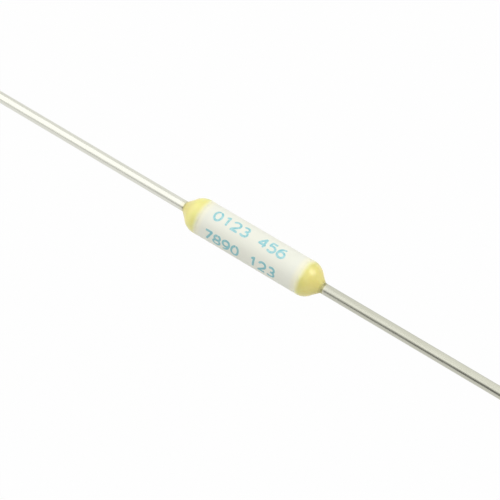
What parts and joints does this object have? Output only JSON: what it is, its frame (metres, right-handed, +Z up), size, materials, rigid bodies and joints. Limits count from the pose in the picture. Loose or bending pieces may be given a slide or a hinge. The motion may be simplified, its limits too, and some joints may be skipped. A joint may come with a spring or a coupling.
{
  "type": "thermal fuse",
  "caption": "Axial thermal fuse: a low-melting alloy link in a white ceramic tube, closed by domed resin seals around straight tinned leads.",
  "frame": {"origin": "middle of the ceramic tube, on its axis", "axes": "+X along the tube's axis towards the right lead, +Z up, with the first row of printed digits on top"},
  "size_m": [0.0636, 0.0026, 0.0026],
  "materials": {
    "ceramic": "satin",
    "tinned_wire": "bright tin over copper",
    "resin": "gloss",
    "fusible_alloy": "satin",
    "flux": "gloss",
    "print_ink": "thin printed ink"
  },
  "bodies": {
    "root": {"ceramic_tube": "ceramic", "left_lead": "tinned_wire", "right_lead": "tinned_wire", "left_seal": "resin", "right_seal": "resin", "fusible_link": "fusible_alloy", "flux_bead": "flux"}
  },
  "joints": []
}
